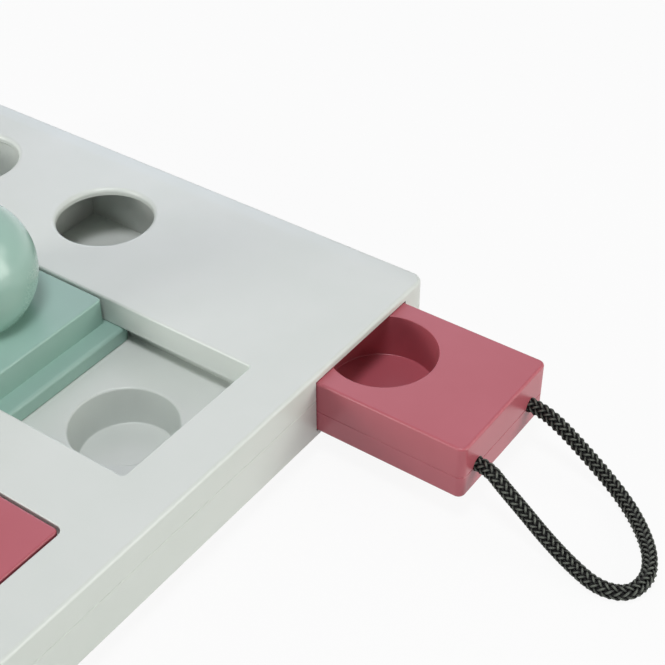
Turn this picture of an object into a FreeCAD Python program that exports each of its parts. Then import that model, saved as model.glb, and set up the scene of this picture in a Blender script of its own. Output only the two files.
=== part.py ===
"""Cat puzzle feeder: a flat treat board with a pull-out drawer, a knob slider and three flaps.

The board lies flat. X runs from its left side to its right side, where the drawer comes out,
Y runs to its far side and Z runs up from the surface that it stands on. Every piece is drawn
about the middle of the board, with the drawer shut and the slider in the middle. Its Placement
then brings it to the rest pose and puts the origin under the middle of the whole object.
"""
import FreeCAD, Part

import math
import os
import re

import Sketcher
from FreeCAD import Placement, Rotation, Vector

# Driving dimensions in millimetres: name, size, meaning
SIZES = (
    ("board_width", 200.0, "left side to right side"),
    ("board_length", 250.0, "near side to far side"),
    ("board_height", 29.4, "surface to the board's top"),
    ("side_height", 22.2, "board's top to the lower edge of its sides"),
    ("shell_depth", 8.8, "board's top to the line between top shell and base"),
    ("corner_radius", 4.0, "board's four corners, seen from above"),
    ("edge_round", 1.2, "top shell's outer top edge"),
    ("side_wall", 2.2, "thickness of the board's sides"),
    ("top_plate", 2.3, "thickness of the top shell's plate"),
    ("rim_round", 0.7, "rounded rims of cups and openings"),
    ("hole_round", 1.3, "rounded rims of the paw holes"),
    ("seam_chamfer", 0.4, "groove along the line between top shell and base"),
    ("running_gap", 0.3, "clearance of pieces that slide"),
    ("open_gap", 0.8, "gap that shows round a flap"),
    ("block_gap", 0.6, "gap that shows beside the slider's block, far and near"),
    ("ring_wall", 2.0, "walls that hang round the openings of the top shell"),
    ("rib_wall", 2.0, "rib beside the slider's channel"),
    ("cup_radius", 15.7, "cups in the base"),
    ("cup_pitch", 60.0, "distance between the columns of cups and paw holes"),
    ("channel_pitch", 58.9, "distance between the cups under the slider"),
    ("channel_offset", 1.2, "middle of the slider's window to its cups, towards the near side"),
    ("cup_taper", 8.0, "slope of the sides of the cups under the slider and the flaps, in degrees"),
    ("cup_wall", 1.2, "side of a cup"),
    ("cup_floor", 1.0, "bottom of a cup"),
    ("cup_clear", 0.2, "gap between cups and bottom cover"),
    ("cup_round", 0.5, "round at the foot of a cup"),
    ("hole_radius", 15.5, "two paw holes in the top shell"),
    ("hole_offset", 1.9, "drawer's middle to the paw holes' centres, towards the far side"),
    ("deck_thick", 1.8, "base's deck"),
    ("channel_drop", 14.3, "board's top to the deck that the slider runs on"),
    ("cover_inset", 9.5, "board's side to the bottom cover's side"),
    ("cover_thick", 1.2, "bottom cover's floor"),
    ("cover_wall", 1.6, "bottom cover's rim"),
    ("foot_radius", 6.0, "rubber feet"),
    ("foot_height", 0.8, "rubber feet under the bottom cover"),
    ("foot_inset", 10.0, "bottom cover's side to a foot's centre"),
    ("drawer_margin", 11.2, "board's far side to the drawer's far side"),
    ("drawer_width", 44.4, "drawer across"),
    ("drawer_height", 17.7, "drawer's bottom to its top"),
    ("drawer_drop", 2.65, "board's top to the drawer's top"),
    ("drawer_parting", 10.25, "drawer's top to its parting line and cord holes"),
    ("drawer_wall", 1.6, "drawer's sides"),
    ("drawer_plate", 2.0, "drawer's top"),
    ("drawer_floor", 1.6, "drawer's bottom"),
    ("drawer_corner", 2.2, "drawer's corners, seen from above"),
    ("drawer_round", 0.8, "drawer's top and bottom edges"),
    ("drawer_cup_radius", 15.8, "cups in the drawer"),
    ("drawer_cup_first", 40.1, "drawer's face to its outer cup's centre"),
    ("drawer_tail", 26.3, "drawer's inner cup's centre to its back"),
    ("drawer_cup_clear", 0.6, "gap under the drawer's cups"),
    ("drawer_out", 47.2, "how far the drawer is pulled out at rest"),
    ("bay_floor", 1.5, "floor under the drawer"),
    ("bay_wall", 1.6, "walls of the drawer's bay"),
    ("window_gap", 7.2, "drawer's near side to the slider's window"),
    ("window_length", 52.0, "slider's window, far to near"),
    ("window_margin", 17.2, "board's side to the slider's window"),
    ("window_corner", 1.0, "corners of the slider's window"),
    ("slider_overlap", 3.5, "slider's plate under the window's edge"),
    ("slider_plate", 68.2, "slider's plate, left to right"),
    ("slider_block", 55.2, "slider's block, left to right"),
    ("slider_round", 1.2, "top edge of the slider's plate"),
    ("slider_drop", 0.45, "board's top to the block's top"),
    ("slider_wall", 2.0, "slider's walls"),
    ("slider_corner", 3.0, "corners of the slider's plate"),
    ("slider_shift", 0.6, "slider's place at rest, right of the middle"),
    ("slider_boss", 5.0, "radius of the post that carries the knob"),
    ("knob_radius", 21.0, "ball knob"),
    ("knob_rise", 13.9, "board's top to the ball's centre"),
    ("flap_gap", 22.7, "slider's window to the flaps"),
    ("flap_width", 45.2, "flap, left to right"),
    ("flap_margin", 17.5, "board's near side to the flaps"),
    ("flap_thick", 3.0, "flap's plate"),
    ("flap_corner", 1.6, "flap's corners, seen from above"),
    ("flap_arm", 37.0, "flap's near edge to its pin"),
    ("flap_rib", 2.0, "ribs under the flap"),
    ("ledge_depth", 2.5, "ledge under the flap's far edge"),
    ("ledge_thick", 1.5, "thickness of that ledge"),
    ("pin_radius", 1.5, "flap's pin"),
    ("pin_drop", 5.0, "board's top to the pin's axis"),
    ("pin_play", 0.05, "play of the pin in its bores"),
    ("barrel_wall", 1.75, "flap's barrel round the pin"),
    ("cord_diameter", 4.0, "braided pull loop"),
    ("cord_clear", 0.2, "gap between the loop and its holes"),
    ("cord_spacing", 28.7, "distance between the loop's holes"),
    ("cord_lead", 3.6, "straight stretch of the loop in front of each hole"),
    ("knot_radius", 3.6, "knots behind the drawer's face"),
    ("knot_cut", 30.0, "latitude at which a knot is cut flat against the face, in degrees"),
    ("boss_radius", 3.3, "screw posts of the board"),
    ("boss_lift", 2.0, "sides' lower edge to the screw posts' lower end"),
    ("boss_bite", 0.6, "how far a screw post runs into the wall beside it"),
    ("screw_radius", 1.1, "shank of the board's screws"),
    ("screw_head", 2.4, "radius of the board's screw heads"),
    ("screw_head_height", 1.8, "height of the board's screw heads"),
    ("screw_play", 0.05, "play of a screw in its pilot hole"),
    ("screw_clear", 0.3, "play of a screw in its clearance hole"),
    ("drawer_boss", 2.8, "screw posts of the drawer"),
    ("drawer_screw", 0.9, "shank of the drawer's screws"),
    ("drawer_head", 1.9, "radius of the drawer's screw heads"),
    ("drawer_head_height", 1.1, "height of the drawer's screw heads"),
    ("drawer_bite", 5.0, "length of thread in the drawer's upper half"),
    ("knob_screw", 2.0, "shank of the knob's screw"),
    ("knob_screw_head", 3.8, "radius of the knob's screw head"),
    ("knob_screw_head_height", 2.2, "height of the knob's screw head"),
    ("knob_bite", 12.0, "length of thread in the knob"),
)

# Places of the board that several pieces share
RIGHT = "(board_width / 2)"
FAR = "(board_length / 2)"
INNER_RIGHT = "(board_width / 2 - side_wall)"
INNER_FAR = "(board_length / 2 - side_wall)"
TOP = "board_height"
SKIRT = "(board_height - side_height)"
SEAM = "(board_height - shell_depth)"
PLATE_UNDER = "(board_height - top_plate)"
DECK = "(board_height - channel_drop)"
DECK_UNDER = "(board_height - channel_drop - deck_thick)"
COVER_TOP = "(foot_height + cover_thick)"
COUNTERSINK = "(cover_thick - running_gap)"
CUP_UNDER = "(foot_height + cover_thick + cup_clear)"
CUP_FLOOR = "(foot_height + cover_thick + cup_clear + cup_floor)"

# Places of the drawer, shut, and of its bay
DRAWER_FAR = "(board_length / 2 - drawer_margin)"
DRAWER_NEAR = "(board_length / 2 - drawer_margin - drawer_width)"
DRAWER_MID = "(board_length / 2 - drawer_margin - drawer_width / 2)"
OUTER_CUP = "(board_width / 2 - drawer_cup_first)"
INNER_CUP = "(board_width / 2 - drawer_cup_first - cup_pitch)"
DRAWER_BACK = "(board_width / 2 - drawer_cup_first - cup_pitch - drawer_tail)"
HOLE_ROW = "(board_length / 2 - drawer_margin - drawer_width / 2 + hole_offset)"
DRAWER_TOP = "(board_height - drawer_drop)"
DRAWER_UNDER = "(board_height - drawer_drop - drawer_height)"
PARTING = "(board_height - drawer_drop - drawer_parting)"
DRAWER_CUP_UNDER = f"({DRAWER_UNDER} + drawer_floor + drawer_cup_clear)"
DRAWER_CUP_FLOOR = f"({DRAWER_CUP_UNDER} + cup_floor)"
BAY_FAR = f"({DRAWER_FAR} + running_gap)"
BAY_NEAR = f"({DRAWER_NEAR} - running_gap)"
BAY_BACK = f"({DRAWER_BACK} - running_gap)"
BAY_FLOOR = f"({DRAWER_UNDER} - running_gap)"
BAY_UNDER = f"({DRAWER_UNDER} - running_gap - bay_floor)"

# Places of the slider's window and channel
WINDOW_FAR = f"({DRAWER_NEAR} - window_gap)"
WINDOW_NEAR = f"({DRAWER_NEAR} - window_gap - window_length)"
WINDOW_MID = f"({DRAWER_NEAR} - window_gap - window_length / 2)"
CHANNEL_CUP_ROW = f"({DRAWER_NEAR} - window_gap - window_length / 2 - channel_offset)"
WINDOW_RIGHT = "(board_width / 2 - window_margin)"
CHANNEL_FAR = f"({WINDOW_FAR} + slider_overlap + running_gap)"
CHANNEL_NEAR = f"({WINDOW_NEAR} - slider_overlap - running_gap)"
BLOCK_TOP = "(board_height - slider_drop)"
KNOB_CENTRE = "(board_height + knob_rise)"
POST_UNDER = f"({DECK} + 2 * running_gap + knob_screw_head_height)"

# Places of the flaps
FLAP_FAR = f"({WINDOW_NEAR} - flap_gap)"
FLAP_NEAR = "(flap_margin - board_length / 2)"
FLAP_HALF = "(flap_width / 2)"
FLAP_UNDER = "(board_height - flap_thick)"
FLAP_CUP_ROW = f"({WINDOW_NEAR} - flap_gap - flap_width / 2)"
PIVOT_Y = "(flap_margin - board_length / 2 + flap_arm)"
PIVOT_Z = "(board_height - pin_drop)"
FLAP_COLUMNS = {"right": "cup_pitch", "middle": "0", "left": "-cup_pitch"}

# Places along X that bring a piece to the rest pose
BOARD_SHIFT = "-drawer_out / 2"
DRAWER_SHIFT = "drawer_out / 2"
SLIDER_SHIFT = "slider_shift - drawer_out / 2"

# Screw places as X and Y
POST_X = f"({INNER_RIGHT} - boss_radius + boss_bite)"
POST_Y = f"({INNER_FAR} - boss_radius + boss_bite)"
POST_MID_Y = f"(({CHANNEL_NEAR} - rib_wall + {FLAP_FAR} + open_gap + ring_wall) / 2)"
CASE_SCREWS = [(f"{side} * {POST_X}", y) for side in (1, -1)
               for y in (POST_Y, POST_MID_Y, f"-{POST_Y}")]
COVER_SCREWS = [(f"{side} * cup_pitch / 2", y) for side in (1, -1)
                for y in (WINDOW_MID, FLAP_CUP_ROW)]
DRAWER_CUPS = [OUTER_CUP, INNER_CUP]
BETWEEN_CUPS = f"(({OUTER_CUP} + {INNER_CUP}) / 2)"
DRAWER_SIDE_POST = "(drawer_width / 2 - drawer_wall - drawer_boss + boss_bite)"
DRAWER_SCREWS = [
    (f"({RIGHT} - drawer_wall - 2 * drawer_boss)", DRAWER_MID),
    (BETWEEN_CUPS, f"({DRAWER_MID} + {DRAWER_SIDE_POST})"),
    (BETWEEN_CUPS, f"({DRAWER_MID} - {DRAWER_SIDE_POST})"),
    (f"({DRAWER_BACK} + drawer_wall + drawer_boss - boss_bite)", DRAWER_MID),
]

# The loop's route by hand: out from the drawer's face, across from its middle, above the surface
LOOP_ROUTE = (
    (8.4, -16.1, 14.8),
    (15.9, -17.3, 10.8),
    (24.2, -18.4, 5.7),
    (33.0, -20.2, 2.4),
    (41.6, -21.9, 2.0),
    (48.2, -19.1, 2.0),
    (50.5, -12.5, 2.0),
    (48.9, -5.9, 2.0),
    (44.6, 0.2, 2.0),
    (37.3, 7.0, 2.2),
    (28.6, 11.9, 4.4),
    (19.3, 13.0, 9.9),
    (10.9, 13.4, 14.7),
)
ARC_SHARE = 0.45
OVERRUN = "1"
TOLERANCE = 1e-4

doc = FreeCAD.newDocument("CatPuzzleFeeder")
sheet = doc.addObject("Spreadsheet::Sheet", "Sizes")
for row, (alias, number, meaning) in enumerate(SIZES, start=1):
    sheet.set(f"A{row}", alias)
    sheet.set(f"B{row}", str(number))
    sheet.set(f"C{row}", meaning)
    sheet.setAlias(f"B{row}", alias)
doc.recompute()

ALIASES = {alias for alias, number, meaning in SIZES}
sub_parts = []


def formula(text):
    """Return a formula of plain size names with each name pointing at its cell."""
    return re.sub(r"[a-z_]+", lambda word: f"Sizes.{word[0]}" if word[0] in ALIASES else word[0], text)


def bind(thing, target, text):
    """Tie one property or constraint to a formula of the sheet's sizes."""
    thing.setExpression(target, formula(text))


def size(alias):
    """Return one of the sheet's sizes as a number."""
    return float(getattr(sheet, alias))


def checked(thing):
    """Recompute the document and stop if this object failed."""
    doc.recompute()
    if {"Invalid", "Error"} & set(thing.State):
        raise RuntimeError(f"{thing.Label} failed: {thing.State}")
    return thing


def rectangle(x_low, x_high, y_low, y_high):
    """Return a drawing of one rectangle, which a sketch then holds."""
    def draw(sketch):
        first = sketch.GeometryCount
        corners = [Vector(-1, -1, 0), Vector(1, -1, 0), Vector(1, 1, 0), Vector(-1, 1, 0)]
        for start, end in zip(corners, corners[1:] + corners[:1]):
            sketch.addGeometry(Part.LineSegment(start, end), False)
        for side in range(4):
            sketch.addConstraint(Sketcher.Constraint("Coincident", first + side, 2,
                                                     first + (side + 1) % 4, 1))
        for side in (0, 2):
            sketch.addConstraint(Sketcher.Constraint("Horizontal", first + side))
            sketch.addConstraint(Sketcher.Constraint("Vertical", first + side + 1))
        limits = (("DistanceX", first, 1, x_low), ("DistanceX", first + 1, 2, x_high),
                  ("DistanceY", first, 1, y_low), ("DistanceY", first + 1, 2, y_high))
        for kind, line, end, text in limits:
            index = sketch.addConstraint(Sketcher.Constraint(kind, -1, 1, line, end, 1.0))
            bind(sketch, f"Constraints[{index}]", text)
    return draw


def circle(x_centre, y_centre, radius):
    """Return a drawing of one circle, which a sketch then holds."""
    def draw(sketch):
        index = sketch.addGeometry(Part.Circle(Vector(1, 1, 0), Vector(0, 0, 1), 1), False)
        for kind, text in (("DistanceX", x_centre), ("DistanceY", y_centre)):
            place = sketch.addConstraint(Sketcher.Constraint(kind, -1, 1, index, 3, 1.0))
            bind(sketch, f"Constraints[{place}]", text)
        width = sketch.addConstraint(Sketcher.Constraint("Radius", index, 1.0))
        bind(sketch, f"Constraints[{width}]", radius)
    return draw


class Piece:
    """One sub-part as a body of pads, pockets and rounded edges."""

    def __init__(self, label, shift):
        self.body = doc.addObject("PartDesign::Body", label)
        self.body.Label = label
        self.label = label
        bind(self.body, "Placement.Base.x", shift)
        sub_parts.append(self.body)

    @property
    def volume(self):
        """The body's volume so far, or nothing before its first feature."""
        return 0.0 if self.body.Shape.isNull() else self.body.Shape.Volume

    def sketch(self, name, outlines, level, role):
        """Draw outlines on one of the body's own planes, moved along its normal."""
        sketch = self.body.newObject("Sketcher::SketchObject", f"{self.label}_{name}_sketch")
        planes = {plane.Role: plane for plane in self.body.Origin.OriginFeatures}
        sketch.AttachmentSupport = [(planes[role], "")]
        sketch.MapMode = "FlatFace"
        bind(sketch, "AttachmentOffset.Base.z", level)
        for draw in outlines:
            draw(sketch)
        return checked(sketch)

    def pad(self, name, outlines, low, high, role="XY_Plane"):
        """Add material from one level up to another, and return its sketch."""
        before = self.volume
        sketch = self.sketch(name, outlines, low, role)
        pad = self.body.newObject("PartDesign::Pad", f"{self.label}_{name}")
        pad.Profile = sketch
        bind(pad, "Length", f"({high}) - ({low})")
        checked(pad)
        if self.volume <= before:
            raise RuntimeError(f"{pad.Label} adds nothing")
        return sketch

    def pocket(self, name, outlines, high, low, role="XY_Plane", taper="0"):
        """Cut from one level down to another, with sloped sides if asked, and return the sketch."""
        before = self.volume
        sketch = self.sketch(name, outlines, high, role)
        pocket = self.body.newObject("PartDesign::Pocket", f"{self.label}_{name}")
        pocket.Profile = sketch
        bind(pocket, "Length", f"({high}) - ({low})")
        bind(pocket, "TaperAngle", taper)
        checked(pocket)
        if self.volume >= before:
            raise RuntimeError(f"{pocket.Label} cuts nothing")
        return sketch

    def dress(self, kind, name, width, edges):
        """Round or chamfer the edges that a test on the body's own shape picks."""
        base = self.body.Tip
        names = [f"Edge{index}" for index, edge in enumerate(base.Shape.Edges, start=1) if edges(edge)]
        if not names:
            raise RuntimeError(f"{self.label}_{name} finds no edge")
        feature = self.body.newObject(f"PartDesign::{kind}", f"{self.label}_{name}")
        feature.Base = (base, names)
        bind(feature, "Radius" if kind == "Fillet" else "Size", width)
        checked(feature)

    def round_posts(self, name, radius, sketch):
        """Round the upright edges that stand on a sketch's corners."""
        corners = [vertex.Point for vertex in sketch.Shape.Vertexes]

        def stands(edge):
            low, high = edge.Vertexes[0].Point, edge.Vertexes[-1].Point
            upright = (abs(low.z - high.z) > TOLERANCE
                       and math.hypot(low.x - high.x, low.y - high.y) < TOLERANCE)
            return upright and any(math.hypot(low.x - corner.x, low.y - corner.y) < TOLERANCE
                                   for corner in corners)
        self.dress("Fillet", name, radius, stands)

    def soften(self, name, width, sketch, level, kind="Fillet"):
        """Round or chamfer the level edges that lie within a sketch's limits at one height."""
        height = level_of(level)
        box = sketch.Shape.BoundBox
        box.enlarge(TOLERANCE)

        def lies(edge):
            limits = edge.BoundBox
            flat = abs(limits.ZMin - height) < TOLERANCE and abs(limits.ZMax - height) < TOLERANCE
            return (flat and limits.XMin > box.XMin and limits.XMax < box.XMax
                    and limits.YMin > box.YMin and limits.YMax < box.YMax)
        self.dress(kind, name, width, lies)


def level_of(text):
    """Return the height that a level's formula gives, as the document works it out."""
    probe = doc.addObject("Part::Vertex", "Probe")
    bind(probe, "Z", text)
    doc.recompute()
    height = float(probe.Z)
    doc.removeObject(probe.Name)
    return height


def cylinder(label, radius, low, height, x_centre, y_centre, tip_radius=None):
    """Make one upright round, or a cone where it has a second radius, at a bound place."""
    thing = doc.addObject("Part::Cone" if tip_radius else "Part::Cylinder", label)
    if tip_radius:
        bind(thing, "Radius1", radius)
        bind(thing, "Radius2", tip_radius)
    else:
        bind(thing, "Radius", radius)
    bind(thing, "Height", height)
    bind(thing, "Placement.Base.x", x_centre)
    bind(thing, "Placement.Base.y", y_centre)
    bind(thing, "Placement.Base.z", low)
    return checked(thing)


def screw(label, place, shift, head, shank):
    """Fuse a head and a shank, each given as radius, lower end, height and tip radius."""
    x_centre = f"{place[0]} + {shift}"
    pieces = [cylinder(f"{label}_{part}", radius, low, height, x_centre, place[1], tip)
              for part, (radius, low, height, tip) in (("head", head), ("shank", shank))]
    fused = doc.addObject("Part::Fuse", label)
    fused.Base, fused.Tool = pieces
    return checked(fused)


def group(label, members):
    """Join identical pieces in one sub-part of separate solids."""
    compound = doc.addObject("Part::Compound", label)
    compound.Label = label
    compound.Links = members
    sub_parts.append(checked(compound))


def make_top_shell():
    """The board's upper moulding, with its paw holes, window, flap openings and drawer slot."""
    shell = Piece("top_shell", BOARD_SHIFT)
    outline = shell.pad("block", [rectangle(f"-{RIGHT}", RIGHT, f"-{FAR}", FAR)], SEAM, TOP)
    shell.round_posts("corners", "corner_radius", outline)
    shell.soften("top_edge", "edge_round", outline, TOP)

    half_opening = f"({FLAP_HALF} + open_gap)"
    flap_far = f"({FLAP_FAR} + open_gap)"
    flap_near = f"({FLAP_NEAR} - open_gap)"
    window = rectangle(f"-{WINDOW_RIGHT}", WINDOW_RIGHT, WINDOW_NEAR, WINDOW_FAR)
    window_ring = rectangle(f"-{WINDOW_RIGHT} - ring_wall", f"{WINDOW_RIGHT} + ring_wall",
                            f"{WINDOW_NEAR} - ring_wall", f"{WINDOW_FAR} + ring_wall")
    flap_openings = [rectangle(f"{column} - {half_opening}", f"{column} + {half_opening}",
                               flap_near, flap_far) for column in FLAP_COLUMNS.values()]
    flap_rings = [rectangle(f"{column} - {half_opening} - ring_wall",
                            f"{column} + {half_opening} + ring_wall",
                            f"{flap_near} - ring_wall", f"{flap_far} + ring_wall")
                  for column in FLAP_COLUMNS.values()]
    inside = rectangle(f"-{INNER_RIGHT}", INNER_RIGHT, f"-{INNER_FAR}", INNER_FAR)
    shell.pocket("hollow", [inside, window_ring, *flap_rings], PLATE_UNDER, f"{SEAM} - {OVERRUN}")

    cut = shell.pocket("window", [window], TOP, f"{SEAM} - {OVERRUN}")
    shell.round_posts("window_corners", "window_corner", cut)
    shell.soften("window_rim", "rim_round", cut, TOP)
    for side, opening in zip(FLAP_COLUMNS, flap_openings):
        cut = shell.pocket(f"{side}_opening", [opening], TOP, f"{SEAM} - {OVERRUN}")
        shell.round_posts(f"{side}_opening_corners", "flap_corner + open_gap", cut)
        shell.soften(f"{side}_opening_rim", "rim_round / 2", cut, TOP)
    for name, column in (("middle_hole", "0"), ("left_hole", "-cup_pitch")):
        cut = shell.pocket(name, [circle(column, HOLE_ROW, "hole_radius")],
                           TOP, f"{PLATE_UNDER} - {OVERRUN}")
        shell.soften(f"{name}_rim", "hole_round", cut, TOP)
    shell.pocket("drawer_slot", [rectangle(BAY_NEAR, BAY_FAR, f"{SEAM} - {OVERRUN}", PLATE_UNDER)],
                 f"{RIGHT} + {OVERRUN}", f"{INNER_RIGHT} - {OVERRUN} / 2", role="YZ_Plane")

    ledge_top = f"({FLAP_UNDER} - running_gap)"
    ledges = [rectangle(f"{column} - {half_opening} - ring_wall / 2",
                        f"{column} + {half_opening} + ring_wall / 2",
                        f"{FLAP_FAR} - ledge_depth", f"{flap_far} + ring_wall / 2")
              for column in FLAP_COLUMNS.values()]
    shell.pad("ledges", ledges, f"({ledge_top} - ledge_thick)", ledge_top)
    pin_end = f"(cup_pitch + {half_opening} + ring_wall + {OVERRUN})"
    shell.pocket("pin_holes", [circle(PIVOT_Y, PIVOT_Z, "pin_radius + pin_play")],
                 pin_end, f"(-{pin_end})", role="YZ_Plane")
    shell.pad("posts", [circle(x, y, "boss_radius") for x, y in CASE_SCREWS],
              SEAM, f"({PLATE_UNDER} + top_plate / 4)")
    shell.pocket("pilot_holes", [circle(x, y, "screw_radius + screw_play") for x, y in CASE_SCREWS],
                 PLATE_UNDER, f"{SEAM} - {OVERRUN}")


def make_base_tray():
    """The board's lower moulding: sides, deck, cups and the drawer's bay."""
    tray = Piece("base_tray", BOARD_SHIFT)
    outline = tray.pad("block", [rectangle(f"-{RIGHT}", RIGHT, f"-{FAR}", FAR)], SKIRT, SEAM)
    tray.round_posts("corners", "corner_radius", outline)
    tray.soften("seam_groove", "seam_chamfer", outline, SEAM, kind="Chamfer")
    inside = rectangle(f"-{INNER_RIGHT}", INNER_RIGHT, f"-{INNER_FAR}", INNER_FAR)
    tray.pocket("underside", [inside], DECK_UNDER, f"{SKIRT} - {OVERRUN}")

    bay_outer_far = f"({BAY_FAR} + bay_wall)"
    bay_outer_near = f"({BAY_NEAR} - bay_wall)"
    bay_outer_back = f"({BAY_BACK} - bay_wall)"
    tray.pocket("channel", [rectangle(f"-{INNER_RIGHT}", INNER_RIGHT, CHANNEL_NEAR, CHANNEL_FAR)],
                SEAM, DECK)
    tray.pocket("flap_well", [rectangle(f"-{INNER_RIGHT}", INNER_RIGHT, f"-{INNER_FAR}",
                                        f"{CHANNEL_NEAR} - rib_wall")], SEAM, DECK)
    tray.pocket("left_well", [rectangle(f"-{INNER_RIGHT}", bay_outer_back, BAY_NEAR, INNER_FAR)],
                SEAM, DECK)
    tray.pocket("far_well", [rectangle(bay_outer_back, INNER_RIGHT, bay_outer_far, INNER_FAR)],
                SEAM, DECK)

    tray.pad("bay_box", [rectangle(bay_outer_back, f"{RIGHT} - side_wall / 2",
                                   bay_outer_near, bay_outer_far)], BAY_UNDER, DECK)
    wall_top = f"({PLATE_UNDER} - running_gap)"
    tray.pad("bay_rim", [rectangle(bay_outer_back, f"{INNER_RIGHT} - running_gap",
                                   bay_outer_near, bay_outer_far)], f"({DECK} + {OVERRUN})", wall_top)
    open_cups = [(f"{sign} * {pitch}", cup_row)
                 for pitch, cup_row in (("channel_pitch", CHANNEL_CUP_ROW), ("cup_pitch", FLAP_CUP_ROW))
                 for sign in (1, 0, -1)]
    deep_cup = ("-cup_pitch", HOLE_ROW)
    tray.pad("cup_walls", [circle(x, y, "cup_radius + cup_wall") for x, y in open_cups],
             CUP_UNDER, f"({DECK} - deck_thick / 2)")
    tray.pad("deep_cup_wall", [circle(*deep_cup, "cup_radius + cup_wall")], CUP_UNDER, wall_top)
    post_under = f"({SKIRT} + boss_lift)"
    tray.pad("case_posts", [circle(x, y, "boss_radius") for x, y in CASE_SCREWS], post_under, SEAM)
    tray.pad("cover_posts", [circle(x, y, "boss_radius") for x, y in COVER_SCREWS],
             COVER_TOP, f"({DECK} - deck_thick / 2)")

    tray.pocket("bay", [rectangle(BAY_BACK, f"{RIGHT} + {OVERRUN}", BAY_NEAR, BAY_FAR)],
                PLATE_UNDER, BAY_FLOOR)
    cups = tray.pocket("cups", [circle(x, y, "cup_radius") for x, y in open_cups], DECK, CUP_FLOOR,
                       taper="-cup_taper")
    deep = tray.pocket("deep_cup", [circle(*deep_cup, "cup_radius")], PLATE_UNDER, CUP_FLOOR)
    tray.pocket("case_screw_holes", [circle(x, y, "screw_radius + screw_clear") for x, y in CASE_SCREWS],
                f"{SEAM} + {OVERRUN}", f"{post_under} - {OVERRUN}")
    tray.pocket("cover_screw_holes", [circle(x, y, "screw_radius + screw_play") for x, y in COVER_SCREWS],
                DECK_UNDER, f"{COVER_TOP} - {OVERRUN}")
    round_cups(tray, "cup_rims", "rim_round", cups, DECK)
    round_cups(tray, "cup_feet", "cup_round", cups, CUP_FLOOR)
    round_cups(tray, "deep_cup_foot", "cup_round", deep, CUP_FLOOR)


def round_cups(piece, name, radius, sketch, level):
    """Round the circles of a sketch of cups where they meet one level."""
    height = level_of(level)
    rings = [(ring.Curve.Center, ring.Curve.Radius) for ring in sketch.Shape.Edges]

    def lies(edge):
        if not isinstance(edge.Curve, Part.Circle):
            return False
        centre = edge.Curve.Center
        return abs(centre.z - height) < TOLERANCE and any(
            edge.Curve.Radius < ring_radius + TOLERANCE
            and math.hypot(centre.x - ring_centre.x, centre.y - ring_centre.y) < TOLERANCE
            for ring_centre, ring_radius in rings)
    piece.dress("Fillet", name, radius, lies)


def make_bottom_cover():
    """The shallow pan that closes the board from below and carries its feet."""
    cover = Piece("bottom_cover", BOARD_SHIFT)
    side, far = f"({RIGHT} - cover_inset)", f"({FAR} - cover_inset)"
    rim_top = f"({BAY_UNDER} - running_gap)"
    outline = cover.pad("block", [rectangle(f"-{side}", side, f"-{far}", far)], "foot_height", rim_top)
    cover.round_posts("corners", "corner_radius", outline)
    cover.soften("bottom_edge", "rim_round", outline, "foot_height")
    cover.pocket("hollow", [rectangle(f"cover_wall - {side}", f"{side} - cover_wall",
                                      f"cover_wall - {far}", f"{far} - cover_wall")],
                 rim_top, COVER_TOP)
    holes = cover.pocket("screw_holes", [circle(x, y, "screw_radius + screw_clear")
                                         for x, y in COVER_SCREWS], COVER_TOP, f"foot_height - {OVERRUN}")
    height = size("foot_height")
    centres = [ring.Curve.Center for ring in holes.Shape.Edges]

    def mouth(edge):
        if not isinstance(edge.Curve, Part.Circle):
            return False
        middle = edge.Curve.Center
        return abs(middle.z - height) < TOLERANCE and any(
            math.hypot(middle.x - centre.x, middle.y - centre.y) < TOLERANCE for centre in centres)
    cover.dress("Chamfer", "countersinks", COUNTERSINK, mouth)


def make_feet_and_screws():
    """Four rubber feet, and the screws of the case and the bottom cover."""
    x_foot = f"({RIGHT} - cover_inset - foot_inset)"
    y_foot = f"({FAR} - cover_inset - foot_inset)"
    group("rubber_feet", [
        cylinder(f"foot_{index}", "foot_radius", "0", "foot_height",
                 f"{sign_x} * {x_foot} + {BOARD_SHIFT}", f"{sign_y} * {y_foot}")
        for index, (sign_x, sign_y) in enumerate(((1, 1), (-1, 1), (-1, -1), (1, -1)), start=1)])
    post_under = f"({SKIRT} + boss_lift)"
    group("case_screws", [
        screw(f"case_screw_{index}", place, BOARD_SHIFT,
              ("screw_head", f"{post_under} - screw_head_height", "screw_head_height", None),
              ("screw_radius", post_under, f"{PLATE_UNDER} - running_gap - {post_under}", None))
        for index, place in enumerate(CASE_SCREWS, start=1)])
    group("cover_screws", [
        screw(f"cover_screw_{index}", place, BOARD_SHIFT,
              (f"screw_radius + {COUNTERSINK}", "foot_height", COUNTERSINK, "screw_radius"),
              ("screw_radius", f"foot_height + {COUNTERSINK}",
               f"{DECK_UNDER} - running_gap - foot_height - {COUNTERSINK}", None))
        for index, place in enumerate(COVER_SCREWS, start=1)])


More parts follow.
